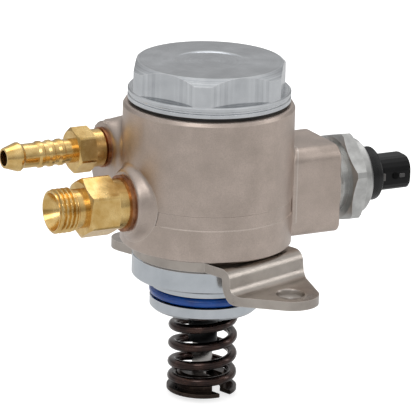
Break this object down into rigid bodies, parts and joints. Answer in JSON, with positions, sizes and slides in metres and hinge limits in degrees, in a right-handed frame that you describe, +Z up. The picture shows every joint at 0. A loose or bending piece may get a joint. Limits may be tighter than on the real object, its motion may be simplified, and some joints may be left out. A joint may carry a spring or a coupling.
{
  "type": "high pressure fuel pump",
  "caption": "Cam driven high pressure fuel pump with a hexagonal damper cap, side solenoid valve, brass pipe fittings, an eared flange and an open plunger spring.",
  "frame": {"origin": "on the plunger axis, level with the underside of the two fixing ears, where the pump seats on the engine", "axes": "+Z up along the plunger axis to the hexagonal cap; +X to the inlet valve and its connector; -X to the two pipe fittings"},
  "size_m": [0.1313, 0.0882, 0.1091],
  "materials": {
    "body_nickel": "blasted satin nickel",
    "cap_aluminium": "fine turned",
    "collar_aluminium": "turned satin",
    "flange_steel": "rolled sheet",
    "blue_rubber": "glossy",
    "tool_steel": "ground",
    "black_tube": "satin black",
    "seal_rubber": "matte",
    "spring_steel": "oil tempered, glossy",
    "retainer_steel": "phosphated",
    "brass": "machined",
    "strainer_mesh": "fine mesh",
    "valve_steel": "zinc plated satin",
    "black_plastic": "moulded",
    "copper": "copper",
    "pin_brass": "tinned",
    "washer_steel": "satin"
  },
  "bodies": {
    "housing": {"mounting_flange": "flange_steel", "lower_collar": "collar_aluminium", "pilot_o_ring": "blue_rubber", "pump_body": "body_nickel", "boss_plug": "body_nickel", "cylinder_sleeve": "tool_steel", "seal_carrier": "black_tube", "plunger_seal": "seal_rubber", "plunger_spring": "spring_steel", "damper_cap": "cap_aluminium", "cap_seal": "seal_rubber", "pulsation_damper": "tool_steel", "damper_holder": "tool_steel", "outlet_fitting": "brass", "outlet_valve_seat": "tool_steel", "outlet_valve_spring": "spring_steel", "inlet_fitting": "brass", "inlet_strainer": "strainer_mesh", "valve_hex_body": "valve_steel", "coil_bobbin": "black_plastic", "solenoid_coil": "copper", "magnet_core": "tool_steel", "inlet_valve_seat": "tool_steel", "needle_spring": "spring_steel", "connector_housing": "black_plastic", "connector_pins": "pin_brass", "outlet_washer": "copper", "inlet_washer": "copper", "valve_washer": "washer_steel"},
    "plunger": {"plunger": "tool_steel", "spring_retainer": "retainer_steel"},
    "inlet_valve": {"valve_armature": "tool_steel", "valve_needle": "tool_steel"},
    "outlet_valve": {"outlet_valve_ball": "tool_steel"}
  },
  "joints": [
    {"name": "plunger_slide", "type": "slide", "parent": "housing", "child": "plunger", "axis": [0, 0, 1], "range_m": [0, 0.005], "stiffness_N_per_m": 8000, "springref_m": -0.003, "deforming": ["plunger_spring"]},
    {"name": "inlet_valve_slide", "type": "slide", "parent": "housing", "child": "inlet_valve", "axis": [1, 0, 0], "range_m": [0, 0.0004], "stiffness_N_per_m": 800, "springref_m": -0.0005},
    {"name": "outlet_valve_slide", "type": "slide", "parent": "housing", "child": "outlet_valve", "axis": [-1, 0, 0], "range_m": [0, 0.0006], "stiffness_N_per_m": 800, "springref_m": -0.0005}
  ]
}
